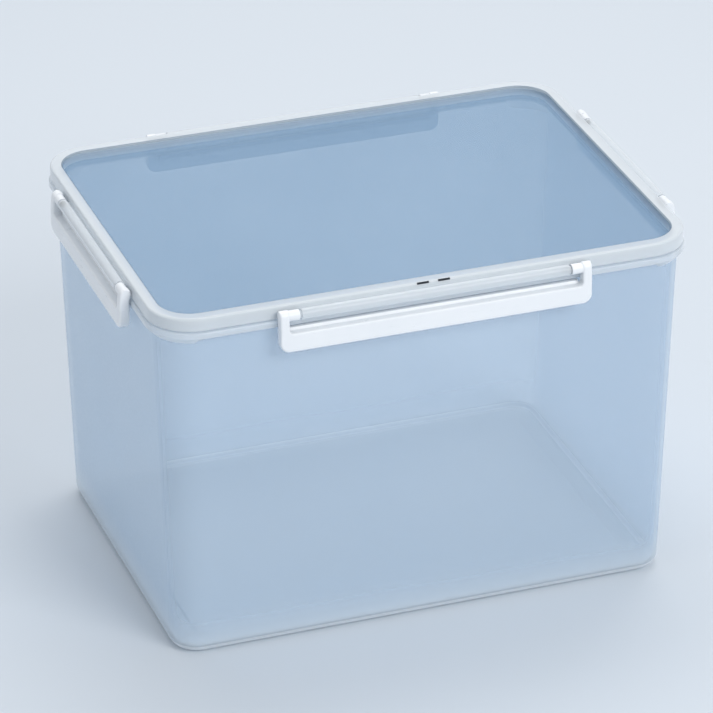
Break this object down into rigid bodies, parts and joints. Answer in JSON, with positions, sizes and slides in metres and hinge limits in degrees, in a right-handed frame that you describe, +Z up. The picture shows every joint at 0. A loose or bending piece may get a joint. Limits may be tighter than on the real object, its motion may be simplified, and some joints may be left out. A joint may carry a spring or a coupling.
{
  "type": "cryogenic storage box",
  "caption": "Deep rectangular storage box in clear milky plastic, with a gasketed lift-off lid held down by a clamp latch hinged on each side.",
  "frame": {"origin": "centre of the base, on the surface that the box stands on", "axes": "+Z up, -Y out of the front (a long side), +X to the right seen from the front"},
  "size_m": [0.3088, 0.2318, 0.203],
  "materials": {
    "clear_plastic": "satin, milky and translucent",
    "white_plastic": "opaque white, soft gloss",
    "white_silicone": "matt white silicone"
  },
  "bodies": {
    "tub": {"tub": "clear_plastic"},
    "lid": {"lid": "clear_plastic", "gasket": "white_silicone"},
    "latch_front": {"latch_front": "white_plastic"},
    "latch_back": {"latch_back": "white_plastic"},
    "latch_left": {"latch_left": "white_plastic"},
    "latch_right": {"latch_right": "white_plastic"}
  },
  "joints": [
    {"name": "lid_lift", "type": "slide", "parent": "tub", "child": "lid", "axis": [0, 0, 1], "range_m": [0, 0.015]},
    {"name": "latch_front_hinge", "type": "hinge", "parent": "lid", "child": "latch_front", "pos_m": [0, -0.1121, 0.1983], "axis": [-1, 0, 0], "range_deg": [0, 160]},
    {"name": "latch_back_hinge", "type": "hinge", "parent": "lid", "child": "latch_back", "pos_m": [0, 0.1121, 0.1983], "axis": [1, 0, 0], "range_deg": [0, 160]},
    {"name": "latch_left_hinge", "type": "hinge", "parent": "lid", "child": "latch_left", "pos_m": [-0.1506, 0, 0.1983], "axis": [0, 1, 0], "range_deg": [0, 160]},
    {"name": "latch_right_hinge", "type": "hinge", "parent": "lid", "child": "latch_right", "pos_m": [0.1506, 0, 0.1983], "axis": [0, -1, 0], "range_deg": [0, 160]}
  ],
  "couplings": [
    {"joint": "latch_front_hinge", "follows": "lid_lift", "rad_per_m": 186.1},
    {"joint": "latch_back_hinge", "follows": "lid_lift", "rad_per_m": 186.1},
    {"joint": "latch_left_hinge", "follows": "lid_lift", "rad_per_m": 186.1},
    {"joint": "latch_right_hinge", "follows": "lid_lift", "rad_per_m": 186.1}
  ]
}
